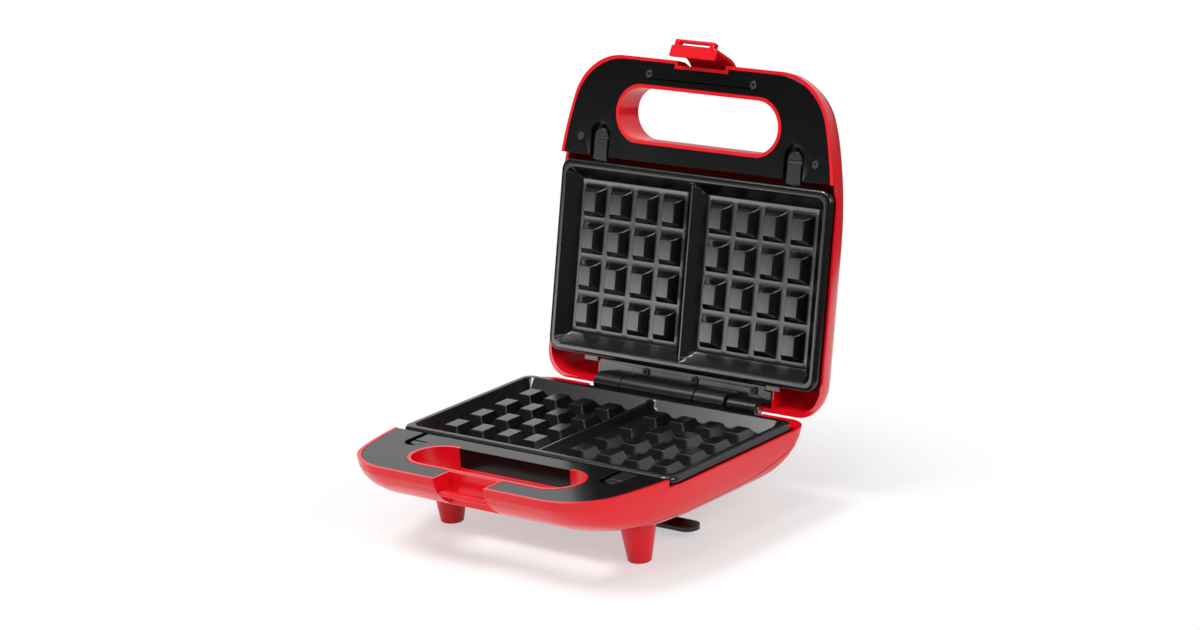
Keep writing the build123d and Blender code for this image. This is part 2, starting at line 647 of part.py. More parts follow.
element_z = TRAY_FLOOR_Z + TRAY_SHEET + ELEMENT_CLEAR + ELEMENT_R
with BuildPart() as element:
    with BuildLine(Plane.XY.offset(element_z)) as path:
        FilletPolyline(
            (-ELEMENT_TAIL_X, ELEMENT_TAIL_Y),
            (-ELEMENT_TAIL_X, ELEMENT_Y[1]),
            (-ELEMENT_X, ELEMENT_Y[1]),
            (-ELEMENT_X, ELEMENT_Y[0]),
            (ELEMENT_X, ELEMENT_Y[0]),
            (ELEMENT_X, ELEMENT_Y[1]),
            (ELEMENT_TAIL_X, ELEMENT_Y[1]),
            (ELEMENT_TAIL_X, ELEMENT_TAIL_Y),
            radius=ELEMENT_BEND_R,
        )
    with BuildSketch(Plane(path.line @ 0, z_dir=path.line % 0)):
        Circle(ELEMENT_R)
    sweep()
keep(element.part, "lower_heating_element", base_pieces)
keep(element.part.mirror(PARTING_PLANE), "upper_heating_element", lid_pieces)

# Thermostat, thermal fuse, terminals and cord outlet
with BuildPart() as thermostat:
    upright([(0, -85)], 9, TRAY_FLOOR_Z - 8, TRAY_FLOOR_Z)
    upright([(0, -85)], 6, TRAY_FLOOR_Z - 10, TRAY_FLOOR_Z - 8)
keep(thermostat.part, "thermostat", base_pieces)

with BuildPart() as fuse:
    rod(-85, TRAY_FLOOR_Z - 2.5, 2.5, 24, 38)
keep(fuse.part, "thermal_fuse", base_pieces)

with BuildPart() as terminals:
    box_between((-60, -62, UNDERSIDE_Z + WALL), (-40, -50, UNDERSIDE_Z + WALL + 8.5))
    for x in (-55, -50, -45):
        box_between((x - 1.6, -63, UNDERSIDE_Z + WALL + 4), (x + 1.6, -49, BIG), mode=Mode.SUBTRACT)
keep(terminals.part, "terminal_block", base_pieces)

with BuildPart() as gland:
    rod_along_y(GLAND_X, GLAND_Z, GLAND_R, GLAND_Y[0], GLAND_Y[1])
    rod_along_y(GLAND_X, GLAND_Z, GLAND_FLANGE_R, GLAND_Y[1] - 2.5, GLAND_Y[1])
    rod_along_y(GLAND_X, GLAND_Z, GLAND_BORE_R, -BIG, BIG, mode=Mode.SUBTRACT)
keep(gland.part, "cord_gland", base_pieces)

# Hinge: base bracket with the middle knuckle and the stop that the lid leans on
with BuildPart() as base_bracket:
    box_between(
        (POCKET_LEFT + 0.3, deck_y, BRACKET_Z),
        (POCKET_RIGHT - 0.3, BRACKET_REAR_Y, BRACKET_Z + BRACKET_THICK),
    )
    box_between((LUG_NOTCH_X, -20, 0), (BIG, -11.9, BIG), mode=Mode.SUBTRACT)
    for low, high in (LEFT_KNUCKLE, RIGHT_KNUCKLE, (RIGHT_KNUCKLE[1], BIG)):
        rod(0, HINGE_Z, KNUCKLE_R + SWING_GAP, low - KNUCKLE_GAP, high + KNUCKLE_GAP, mode=Mode.SUBTRACT)
    rod(0, HINGE_Z, KNUCKLE_R, *MIDDLE_KNUCKLE)
    side_prism(STOP_PROFILE, *STOP_SPAN)
    rod(0, HINGE_Z, PIN_R + RUNNING_GAP, -BIG, BIG, mode=Mode.SUBTRACT)
    upright(HINGE_SCREWS, SCREW_HOLE_R, BRACKET_Z - 1, BRACKET_Z + BRACKET_THICK + 1, mode=Mode.SUBTRACT)
keep(base_bracket.part, "base_hinge_bracket", base_pieces)

with BuildPart() as pin:
    rod(0, HINGE_Z, PIN_R, LEFT_KNUCKLE[0] - 2, SLEEVE_SPAN[1] + 1)
    chamfer(pin.edges(), 0.4)
keep(pin.part, "hinge_pin", base_pieces)

with BuildPart() as sleeve:
    rod(0, HINGE_Z, SLEEVE_R, *SLEEVE_SPAN)
    fillet(sleeve.edges(), 0.6)
    rod(0, HINGE_Z, PIN_R + RUNNING_GAP, -BIG, BIG, mode=Mode.SUBTRACT)
keep(sleeve.part, "cable_sleeve", base_pieces)

# Lid bracket with the two outer knuckles
with BuildPart() as lid_bracket:
    box_between(
        (POCKET_LEFT + 0.3, deck_y, LID_BRACKET_Z),
        (POCKET_RIGHT - 0.3, BRACKET_REAR_Y, LID_BRACKET_Z + BRACKET_THICK),
    )
    box_between((LUG_NOTCH_X, -20, 0), (BIG, -11.9, BIG), mode=Mode.SUBTRACT)
    for low, high in (LEFT_KNUCKLE, RIGHT_KNUCKLE):
        side_prism(WEB_PROFILE, low, high)
        rod(0, HINGE_Z, KNUCKLE_R, low, high)
    rod(0, HINGE_Z, PIN_R + RUNNING_GAP, -BIG, BIG, mode=Mode.SUBTRACT)
    upright(HINGE_SCREWS, SCREW_HOLE_R, LID_BRACKET_Z - 1, BIG, mode=Mode.SUBTRACT)
keep(lid_bracket.part, "lid_hinge_bracket", lid_pieces)


def screw_set(spots, seat_z, length, head_below):
    """Round-headed screws on one seat height, pointing up or down."""
    sign = 1 if head_below else -1
    with BuildPart() as screws:
        upright(spots, SCREW_R, *sorted((seat_z, seat_z - sign * SCREW_HEAD)))
        upright(spots, SCREW_SHANK_R, *sorted((seat_z, seat_z + sign * length)))
    return screws.part


keep(screw_set(HINGE_SCREWS, BRACKET_Z + BRACKET_THICK, 8, False), "base_hinge_screws", base_pieces)
keep(screw_set(WINDER_SCREWS, HORN_Z[0], 29, True), "winder_screws", base_pieces)
with BuildPart() as cover_screws:
    add(screw_set(FRONT_COVER_SCREWS, UNDERSIDE_Z, 12, True))
    add(screw_set(REAR_COVER_SCREWS, COVER_SEAT_Z, 7, True))
keep(cover_screws.part, "cover_screws", base_pieces)
keep(screw_set(HINGE_SCREWS, LID_BRACKET_Z, 9, True), "lid_hinge_screws", lid_pieces)
keep(screw_set(LID_SCREW_SPOTS, LID_PANEL_Z + 1.2, 8, True), "lid_screws", lid_pieces)

# Lid shell
ear_out = NOTCH_HALF + 1.6
ear_in = LATCH_HALF + 1.2
pivot_z = LID_RIM_Z + LATCH_PIVOT_RISE
slot_front_y = SLOT_Y - SLOT_HALF_HEIGHT + SLOT_LIP
with BuildPart() as latch_housing:
    rod(LATCH_ARC_Y, LID_RIM_Z, LATCH_RECESS_R, -ear_out, ear_out)
    box_between((-ear_out, -BIG, LID_RIM_Z), (-ear_in, slot_front_y, BIG))
    box_between((ear_in, -BIG, LID_RIM_Z), (ear_out, slot_front_y, BIG))
    rod(LATCH_PIVOT_Y, pivot_z, LATCH_BARREL_R + 2.5, -ear_out, ear_out)
    box_between(
        (-ear_out, LATCH_ARC_Y, LID_RIM_Z + LATCH_RECESS_R - LATCH_THICK),
        (ear_out, slot_front_y, LID_RIM_Z + LATCH_RECESS_R),
    )
    rod(LATCH_ARC_Y, LID_RIM_Z, LATCH_RECESS_R - LATCH_THICK, -BIG, BIG, mode=Mode.SUBTRACT)
    box_between((-BIG, slot_front_y, -BIG), (BIG, BIG, BIG), mode=Mode.SUBTRACT)
    add(lid_outer, mode=Mode.INTERSECT)

with BuildPart() as latch_room:
    box_between((-ear_in, -BIG, -BIG), (ear_in, LATCH_ARC_Y, BIG))
    rod(LATCH_ARC_Y, LID_RIM_Z, LATCH_RECESS_R, -BIG, BIG, mode=Mode.SUBTRACT)
    rod(LATCH_PIVOT_Y, pivot_z, LATCH_BARREL_R + 0.5, -ear_in, ear_in)

with BuildPart() as lid_inside:
    column(slot_outer, LID_RIM_Z, BIG / 2)
    upright([(s * POST_X, y) for s in (-1, 1) for y in POST_Y], POST_R, UPPER_TRAY_TOP_Z + 0.05, BIG / 2)
    upright(LID_SCREW_SPOTS, POST_R, LID_PANEL_Z + PANEL_THICK, BIG / 2)
    upright(HINGE_SCREWS, HINGE_BOSS_R, LID_BRACKET_Z + BRACKET_THICK, BIG / 2)
    box_between((POCKET_LEFT - 1.2, deck_y - 0.3, 70.6), (POCKET_LEFT, 3, BIG / 2))
    box_between((POCKET_RIGHT, deck_y - 0.3, 70.6), (POCKET_RIGHT + 1.2, 3, BIG / 2))
    add(lid_outer, mode=Mode.INTERSECT)

with BuildPart() as lid_hollow:
    add(lid_inner)
    column(panel_room, LID_RIM_Z, LID_PANEL_Z + PANEL_THICK)
    add(lid_inside.part, mode=Mode.SUBTRACT)
    add(latch_housing.part, mode=Mode.SUBTRACT)

with BuildPart() as lid_shell:
    add(lid_outer)
    add(lid_hollow.part, mode=Mode.SUBTRACT)
    column(slot_hole, LID_RIM_Z - 1, BIG / 2, mode=Mode.SUBTRACT)
    add(latch_room.part, mode=Mode.SUBTRACT)
    rod(LATCH_PIVOT_Y, pivot_z, LATCH_PIN_R + RUNNING_GAP, -BIG, BIG, mode=Mode.SUBTRACT)
    box_between((-BIG, STEP_Y, 0), (BIG, BIG, LID_LOW_Z), mode=Mode.SUBTRACT)
    column(plate_clear, LID_RIM_Z - 1, RIM_Z + 2 * HALF_GAP + FLANGE_DEPTH + 0.5, mode=Mode.SUBTRACT)
    upright(LID_SCREW_SPOTS, SCREW_HOLE_R, 60, 76, mode=Mode.SUBTRACT)
    upright(HINGE_SCREWS, SCREW_HOLE_R, 60, 80, mode=Mode.SUBTRACT)
    upright(LAMPS, LAMP_R + RUNNING_GAP, 80, BIG, mode=Mode.SUBTRACT)
keep(lid_shell.part, "lid_shell", lid_pieces)

# Lid panel, levers and springs
lid_panel_form = front_panel(ear_out + FIT_GAP, -221.5).mirror(PARTING_PLANE)
with BuildPart() as lid_panel:
    add(lid_panel_form)
    upright(LID_SCREW_SPOTS, SCREW_R + 0.3, 0, LID_PANEL_Z + 1.2, mode=Mode.SUBTRACT)
    upright(LID_SCREW_SPOTS, SCREW_HOLE_R, 0, BIG, mode=Mode.SUBTRACT)
keep(lid_panel.part, "lid_panel", lid_pieces)

for side, name in ((-1, "left"), (1, "right")):
    lever_form = release_lever(side * LEVER_X)
    keep(lever_form.mirror(PARTING_PLANE), "upper_release_" + name, lid_pieces)

for x, name in ((LAMPS[0], "power_lamp"), (LAMPS[1], "ready_lamp")):
    with BuildPart() as lamp:
        upright([x], LAMP_R, LAMP_Z[0], LAMP_Z[1])
        fillet(lamp.faces().sort_by(Axis.Z)[-1].edges(), 1.0)
    keep(lamp.part, name, lid_pieces)

# Latch, drawn latched, and its pin
lip_z = LID_RIM_Z - LATCH_DROP
latch_front_y = LATCH_ARC_Y - LATCH_ARC_R
with BuildSketch(Plane.YZ.offset(-LATCH_HALF)) as latch_profile:
    with Locations((LATCH_ARC_Y, LID_RIM_Z)):
        Circle(LATCH_ARC_R)
        Circle(LATCH_ARC_R - LATCH_THICK, mode=Mode.SUBTRACT)
    Polygon(
        (LATCH_ARC_Y, LID_RIM_Z),
        (LATCH_ARC_Y - 60, LID_RIM_Z),
        (LATCH_ARC_Y - 60, LID_RIM_Z + 60),
        (LATCH_ARC_Y - 14, LID_RIM_Z + 60),
        align=None,
        mode=Mode.INTERSECT,
    )
    with Locations((LATCH_PIVOT_Y, pivot_z)):
        Circle(LATCH_BARREL_R)
    with Locations((latch_front_y, lip_z - LATCH_LIP)):
        Rectangle(LATCH_THICK, LATCH_DROP + LATCH_LIP + 0.01, align=(Align.MIN, Align.MIN))
        Rectangle(LATCH_LIP_REACH, LATCH_LIP, align=(Align.MIN, Align.MIN))
    with Locations((LATCH_PIVOT_Y, pivot_z)):
        Circle(LATCH_PIN_R + RUNNING_GAP, mode=Mode.SUBTRACT)

with BuildPart() as latch:
    extrude(latch_profile.sketch, amount=2 * LATCH_HALF)
    box_between((-LOOP_HALF, LOOP_Y[0], LOOP_Z[0]), (LOOP_HALF, LOOP_Y[1], LOOP_Z[1]))
    box_between(
        (-LOOP_HALF + 3.5, LOOP_Y[0] + 1.5, 0), (LOOP_HALF - 3.5, LOOP_Y[1] - 1, LID_RIM_Z - 5),
        mode=Mode.SUBTRACT,
    )
latch_pivot = Axis((0, LATCH_PIVOT_Y, pivot_z), (1, 0, 0))
keep(latch.part.rotate(latch_pivot, -LATCH_OUT_ANGLE), "latch", lid_pieces)

with BuildPart() as latch_pin:
    rod(LATCH_PIVOT_Y, pivot_z, LATCH_PIN_R, -ear_out + 0.2, ear_out - 0.2)
keep(latch_pin.part, "latch_pin", lid_pieces)

# Swing the lid open, centre everything along Y and write the pieces
placed = list(base_pieces)
for piece in lid_pieces:
    opened = piece.rotate(HINGE_AXIS, -OPEN_ANGLE)
    opened.label = piece.label
    placed.append(opened)

boxes = [piece.bounding_box() for piece in placed]
shift_y = -(min(b.min.Y for b in boxes) + max(b.max.Y for b in boxes)) / 2
os.makedirs("parts", exist_ok=True)
for piece in placed:
    shifted = piece.moved(Location((0, shift_y, 0)))
    shifted.label = piece.label
    export_step(shifted, "parts/" + piece.label + ".step")
    solids = piece.solids()
    print(piece.label, len(solids), round(sum(s.volume for s in solids)), shifted.bounding_box())
print("shift along Y", round(shift_y, 3))
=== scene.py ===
# %% [markdown]
# A counter-top snack maker stands open on a pale table. Its red plastic halves
# carry two lift-out baking plates with a black non-stick coating. The exact solid
# model is loaded first, and every piece made here is drawn in that same frame.

# %% Load the exact model
from math import cos, pi, radians, sin, sqrt

import bmesh
import bpy
import json
import numpy as np
from mathutils import Matrix, Vector


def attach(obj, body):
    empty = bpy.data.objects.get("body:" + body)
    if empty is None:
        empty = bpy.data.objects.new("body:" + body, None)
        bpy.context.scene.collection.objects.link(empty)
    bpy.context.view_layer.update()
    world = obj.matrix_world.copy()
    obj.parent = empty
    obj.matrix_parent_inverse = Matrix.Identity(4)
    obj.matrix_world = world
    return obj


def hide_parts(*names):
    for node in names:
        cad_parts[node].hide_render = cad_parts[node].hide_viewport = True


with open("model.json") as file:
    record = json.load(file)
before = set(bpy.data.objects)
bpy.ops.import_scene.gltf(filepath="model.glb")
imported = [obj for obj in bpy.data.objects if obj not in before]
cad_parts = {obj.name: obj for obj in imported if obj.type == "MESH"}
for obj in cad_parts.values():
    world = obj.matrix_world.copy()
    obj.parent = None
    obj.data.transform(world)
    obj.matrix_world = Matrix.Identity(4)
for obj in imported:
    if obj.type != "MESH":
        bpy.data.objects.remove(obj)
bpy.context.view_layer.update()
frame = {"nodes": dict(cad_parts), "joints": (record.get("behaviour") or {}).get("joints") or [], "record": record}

# %% [markdown]
# The source of the solids writes every length in millimetres with the lid shut and
# the hinge above y = 0. The same numbers are used here. Two matrices carry a shape
# from there to its place: one only slides it along Y, and the other also mirrors it
# into the lid and swings the lid open about the hinge.

# %% From the drawing to its place
MM = 0.001
HINGE_Z = 60.6
OPEN_ANGLE = radians(102.2)
PARTING_Z = 64.0
shift_y = frame["joints"][0]["pos_m"][1]
to_base = Matrix.Scale(MM, 4) @ Matrix.Translation((0, shift_y / MM, 0))
swing = (
    Matrix.Translation((0, 0, HINGE_Z))
    @ Matrix.Rotation(-OPEN_ANGLE, 4, "X")
    @ Matrix.Translation((0, 0, -HINGE_Z))
)
flip = Matrix.Translation((0, 0, 2 * PARTING_Z)) @ Matrix.Diagonal((1, 1, -1, 1))
to_lid = to_base @ swing
to_lid_mirrored = to_lid @ flip
print("shift along Y", shift_y)

# %% [markdown]
# The camera stands where the photograph was taken from: low, in front and to the
# right, with a long lens. Its place was worked out from the edges whose real
# positions are known.

# %% Camera
camera_data = bpy.data.cameras.new("camera")
camera_data.lens = 107.0
camera_data.sensor_width = 36.0
camera = bpy.data.objects.new("camera", camera_data)
bpy.context.scene.collection.objects.link(camera)
camera_spot = Vector((1.43752, -1.84532 + shift_y, 0.78376))
camera_right = Vector((0.785, 0.617, -0.055)).normalized()
camera_back = Vector((0.606, -0.747, 0.273)).normalized()
camera_up = camera_back.cross(camera_right).normalized()
camera_right = camera_up.cross(camera_back)
camera.matrix_world = Matrix(
    (
        (camera_right.x, camera_up.x, camera_back.x, camera_spot.x),
        (camera_right.y, camera_up.y, camera_back.y, camera_spot.y),
        (camera_right.z, camera_up.z, camera_back.z, camera_spot.z),
        (0, 0, 0, 1),
    )
)
bpy.context.scene.camera = camera
bpy.context.scene.view_settings.view_transform = "Standard"

# %% [markdown]
# Colours are written as they look on a screen. Blender works in linear light, so
# one function turns them over. Another adds a shader node and its links.

# %% Colour and node helpers
def linear(hex_colour):
    """Linear red, green, blue and alpha of a colour such as #DE0F1E."""
    channels = [int(hex_colour[i : i + 2], 16) / 255 for i in (1, 3, 5)]
    return [c / 12.92 if c <= 0.04045 else ((c + 0.055) / 1.055) ** 2.4 for c in channels] + [1.0]


def add_node(tree, kind, inputs=None, **settings):
    """Add a node, and link or set each input that is given."""
    made = tree.nodes.new(kind)
    for name, value in settings.items():
        setattr(made, name, value)
    for key, value in (inputs or {}).items():
        if isinstance(value, bpy.types.NodeSocket):
            tree.links.new(value, made.inputs[key])
        else:
            made.inputs[key].default_value = value
    return made


def new_material(name):
    """An empty node material and its tree."""
    material = bpy.data.materials.new(name)
    material.use_nodes = True
    material.node_tree.nodes.clear()
    return material, material.node_tree


def moulded(name, colour, colour_low, roughness, rough_swing, grain_mm, grain_depth, **shader):
    """Moulded or coated surface: faint colour drift, a fine grain and uneven gloss."""
    material, tree = new_material(name)
    place = add_node(tree, "ShaderNodeTexCoord").outputs["Object"]
    drift = add_node(
        tree, "ShaderNodeTexNoise", {"Vector": place, "Scale": 9.0, "Detail": 3.0}
    ).outputs["Fac"]
    grain = add_node(
        tree, "ShaderNodeTexNoise",
        {"Vector": place, "Scale": 1000.0 / grain_mm, "Detail": 2.0, "Roughness": 0.6},
    ).outputs["Fac"]
    tint = add_node(
        tree, "ShaderNodeMix", {0: drift, 6: linear(colour_low), 7: linear(colour)}, data_type="RGBA"
    ).outputs[2]
    gloss = add_node(
        tree, "ShaderNodeMapRange",
        {"Value": drift, "From Min": 0.3, "From Max": 0.7,
         "To Min": roughness - rough_swing, "To Max": roughness + rough_swing},
    ).outputs["Result"]
    bump = add_node(
        tree, "ShaderNodeBump", {"Height": grain, "Strength": 0.35, "Distance": grain_depth * MM}
    ).outputs["Normal"]
    surface = add_node(
        tree, "ShaderNodeBsdfPrincipled", {"Base Color": tint, "Roughness": gloss, "Normal": bump, **shader}
    )
    add_node(tree, "ShaderNodeOutputMaterial", {"Surface": surface.outputs[0]})
    return material

# %% [markdown]
# The body is polypropylene, injection moulded in a polished tool and dyed right
# through. That gives a saturated red with a soft wide highlight, and a very fine
# orange peel that only breaks up reflections.

# %% Red moulded plastic
red_plastic = moulded(
    "polished_red_polypropylene", "#DE0F1E", "#D60B1A", 0.2, 0.03, 1.6, 0.01, IOR=1.42
)

# %% [markdown]
# The panels in front of the plates are glass-filled nylon, moulded with a satin
# spark-eroded texture. Seen along the surface it mirrors the room and turns grey,
# and seen straight on it stays black.

# %% Satin black nylon
black_panel = moulded(
    "satin_black_nylon", "#0A0A0B", "#08080A", 0.15, 0.02, 0.9, 0.004, IOR=1.36
)
hinge_plastic = moulded(
    "black_hinge_nylon", "#121213", "#0E0E0F", 0.27, 0.05, 1.1, 0.01, IOR=1.6
)
lever_plastic = moulded(
    "matt_grey_black_nylon", "#0F0F11", "#0C0C0E", 0.26, 0.05, 0.8, 0.02, IOR=1.53
)
black_gloss = moulded("polished_black_abs", "#0B0B0C", "#080809", 0.16, 0.03, 2.0, 0.01, IOR=1.54)

# %% [markdown]
# The plates are cast aluminium, sprayed with a non-stick fluoropolymer and baked.
# The coat is almost black, and a fine pebble spreads what it mirrors, so each slope
# that faces a lamp shows a soft grey sheen while the others stay dark.

# %% Non-stick coating
nonstick = moulded(
    "baked_nonstick_coating", "#060607", "#050506", 0.23, 0.02, 0.7, 0.006, IOR=1.6
)

# %% [markdown]
# The fixings are steel with a dark phosphate coat. The sheets behind the plates are
# plain rolled aluminium, and the heating elements are drawn steel tube.

# %% Metals and small parts
dark_steel = moulded("phosphated_steel", "#5A5A5E", "#4A4A4E", 0.38, 0.08, 0.5, 0.02, Metallic=1.0)
black_zinc = moulded("black_zinc_plate", "#161618", "#101012", 0.4, 0.06, 0.5, 0.02, IOR=1.5)
sheet_metal = moulded("rolled_aluminium", "#D2D3D6", "#C4C5C9", 0.3, 0.06, 0.4, 0.01, Metallic=1.0)
tube_steel = moulded("drawn_steel", "#9A9A9C", "#87878A", 0.32, 0.06, 0.6, 0.01, Metallic=1.0)
insulator = moulded("white_insulator", "#E9E8E3", "#DEDDD6", 0.45, 0.05, 0.8, 0.02, IOR=1.5)
rubber = moulded("black_rubber", "#171717", "#121212", 0.62, 0.05, 0.5, 0.04, IOR=1.5)
red_lens = moulded("red_lamp_lens", "#C81408", "#B81006", 0.12, 0.02, 1.5, 0.01, IOR=1.58)
green_lens = moulded("green_lamp_lens", "#1E9E3A", "#178A30", 0.12, 0.02, 1.5, 0.01, IOR=1.58)

# %% [markdown]
# The solids are exact, but their meshes are loose triangles with knife edges. A
# copy of each one is merged and its edges are rounded a little with a Bevel
# modifier, because real mouldings and castings never end in a perfect corner, and
# the thin highlight along an edge is what makes them read as real. In the lid the
# bore for the latch's pin is also filled where it would come out at the corners.

# %% Rounded copies of the exact solids
WELD_M = 2e-6
FLAT_ANGLE = radians(0.6)
BEVEL_ANGLE = radians(35)
SHARP_ANGLE = radians(32)
BEVEL_SEGMENTS = 2
NORMAL_WEIGHT = 90
PIN_Y, PIN_Z, PIN_BORE_REACH, PAST_EARS = -212.5, 79.8, 2.2, 40.0

body_of = {n: b for b, ns in frame["record"]["behaviour"]["bodies"].items() for n in ns}


def place_piece(mesh, name, node, material):
    """Put a finished mesh in the scene in place of the solid named node."""
    piece = bpy.data.objects.new(name, mesh)
    bpy.context.scene.collection.objects.link(piece)
    mesh.materials.clear()
    mesh.materials.append(material)
    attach(piece, body_of[node])
    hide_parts(node)


def baked(piece):
    """The piece's mesh with its modifiers applied."""
    bpy.context.view_layer.update()
    evaluated = piece.evaluated_get(bpy.context.evaluated_depsgraph_get())
    return bpy.data.meshes.new_from_object(evaluated)


def close_breakouts(work):
    """The bore of the latch's pin runs on through the lid's two corners, and is filled there."""
    to_shut = to_lid.inverted()

    def in_bore(spot):
        off_axis = sqrt((spot.y - PIN_Y) ** 2 + (spot.z - PIN_Z) ** 2)
        return abs(spot.x) > PAST_EARS and off_axis < PIN_BORE_REACH

    walls = [f for f in work.faces if all(in_bore(to_shut @ v.co) for v in f.verts)]
    bmesh.ops.delete(work, geom=walls, context="FACES")
    rims = [e for e in work.edges if e.is_boundary]
    bmesh.ops.holes_fill(work, edges=rims, sides=0)
    print("walls of the bore taken out", len(walls))


def rounded_copy(node, bevel_mm):
    """A welded copy of a solid's mesh, with rounded edges and smooth shading between them."""
    source = frame["nodes"][node]
    mesh = source.data.copy()
    mesh.transform(source.matrix_world)
    work = bmesh.new()
    work.from_mesh(mesh)
    bmesh.ops.remove_doubles(work, verts=work.verts, dist=WELD_M)
    if node == "lid_shell":
        close_breakouts(work)
    if bevel_mm:
        bmesh.ops.dissolve_limit(
            work, angle_limit=FLAT_ANGLE, verts=work.verts, edges=work.edges, delimit={"NORMAL"}
        )
        many = [f for f in work.faces if len(f.verts) > 4]
        bmesh.ops.triangulate(work, faces=many, quad_method="BEAUTY", ngon_method="BEAUTY")
    work.to_mesh(mesh)
    work.free()
    for face in mesh.polygons:
        face.use_smooth = True
    helper = bpy.data.objects.new("helper", mesh)
    bpy.context.scene.collection.objects.link(helper)
    if bevel_mm:
        bevel = helper.modifiers.new("bevel", "BEVEL")
        bevel.width = bevel_mm * MM
        bevel.segments = BEVEL_SEGMENTS
        bevel.limit_method = "ANGLE"
        bevel.angle_limit = BEVEL_ANGLE
    mesh.set_sharp_from_angle(angle=SHARP_ANGLE)
    weighted = helper.modifiers.new("weighted", "WEIGHTED_NORMAL")
    weighted.keep_sharp = True
    weighted.weight = NORMAL_WEIGHT
    made = baked(helper)
    bpy.data.objects.remove(helper)
    return made


# Each row: material, bevel in millimetres, solids.
finishes = [
    (red_plastic, 0.35, ("base_shell", "bottom_cover", "lid_shell")),
    (red_plastic, 0.4, ("front_foot_left", "front_foot_right", "latch")),
    (black_panel, 0.3, ("base_panel", "lid_panel")),
    (
        lever_plastic, 0.35,
        ("lower_release_left", "lower_release_right", "upper_release_left", "upper_release_right"),
    ),
    (hinge_plastic, 0.4, ("base_hinge_bracket", "lid_hinge_bracket", "cable_sleeve")),
    (black_gloss, 0.8, ("cord_winder",)),
    (sheet_metal, 0.0, ("lower_heat_tray", "upper_heat_tray")),
    (
        tube_steel, 0.0,
        ("lower_heating_element", "upper_heating_element", "hinge_pin", "latch_pin", "thermostat"),
    ),
    (insulator, 0.3, ("terminal_block", "thermal_fuse")),
    (rubber, 0.4, ("cord_gland",)),
    (red_lens, 0.3, ("power_lamp",)),
    (green_lens, 0.3, ("ready_lamp",)),
]
for material, bevel_mm, nodes in finishes:
    for node in nodes:
        place_piece(rounded_copy(node, bevel_mm), node + "_skin", node, material)
print("rounded copies made")

# %% [markdown]
# Eighteen pan-head screws with a cross recess hold the halves together. One head is
# made from a flat curve: a disc outline with a cross outline inside it, filled,
# thickened and bevelled. Geometry Nodes then put a copy on every seat and turn each
# by a random angle, as no two screws stop at the same turn.

# %% Screws by Geometry Nodes
HEAD_R, HEAD_HALF, HEAD_ROUND, HEAD_POINTS = 2.55, 0.35, 0.22, 28
CROSS_ARM, CROSS_REACH = 0.52, 1.62
HEAD_LIFT, RECESS_FLOOR_R, RECESS_FLOOR_Z = 0.6, 2.0, 0.35
SHANK_TIP_R, SHANK_R, SHANK_LENGTH = 1.1, 1.4, 7
FULL_TURN = 6.283


def screw_mesh():
    """One screw head with a cross recess, and a short shank below it."""
    curve = bpy.data.curves.new("screw_head", "CURVE")
    curve.dimensions = "2D"
    curve.fill_mode = "BOTH"
    curve.extrude = HEAD_HALF * MM
    curve.bevel_depth = HEAD_ROUND * MM
    curve.bevel_resolution = 2
    turns = np.linspace(0, 2 * pi, HEAD_POINTS + 1)[:-1]
    disc = [(HEAD_R * cos(a), HEAD_R * sin(a)) for a in turns]
    cross = []
    for quarter in range(4):
        c, s = cos(quarter * pi / 2), sin(quarter * pi / 2)
        for x, y in ((CROSS_REACH, -CROSS_ARM), (CROSS_REACH, CROSS_ARM), (CROSS_ARM, CROSS_ARM)):
            cross.append((x * c - y * s, x * s + y * c))
    for outline in (disc, cross):
        spline = curve.splines.new("POLY")
        spline.points.add(len(outline) - 1)
        for point, (x, y) in zip(spline.points, outline):
            point.co = (x * MM, y * MM, 0, 1)
        spline.use_cyclic_u = True
    helper = bpy.data.objects.new("helper", curve)
    bpy.context.scene.collection.objects.link(helper)
    head = baked(helper)
    bpy.data.objects.remove(helper)
    work = bmesh.new()
    work.from_mesh(head)
    bmesh.ops.translate(work, vec=(0, 0, HEAD_LIFT * MM), verts=work.verts)
    recess_floor = bmesh.ops.create_circle(
        work, cap_ends=True, segments=20, radius=RECESS_FLOOR_R * MM
    )["verts"]
    bmesh.ops.translate(work, vec=(0, 0, RECESS_FLOOR_Z * MM), verts=recess_floor)
    shank = bmesh.ops.create_cone(
        work, cap_ends=True, segments=16,
        radius1=SHANK_TIP_R * MM, radius2=SHANK_R * MM, depth=SHANK_LENGTH * MM,
    )["verts"]
    bmesh.ops.translate(work, vec=(0, 0, -SHANK_LENGTH / 2 * MM), verts=shank)
    work.to_mesh(head)
    work.free()
    for face in head.polygons:
        face.use_smooth = True
    head.set_sharp_from_angle(angle=radians(40))
    return head


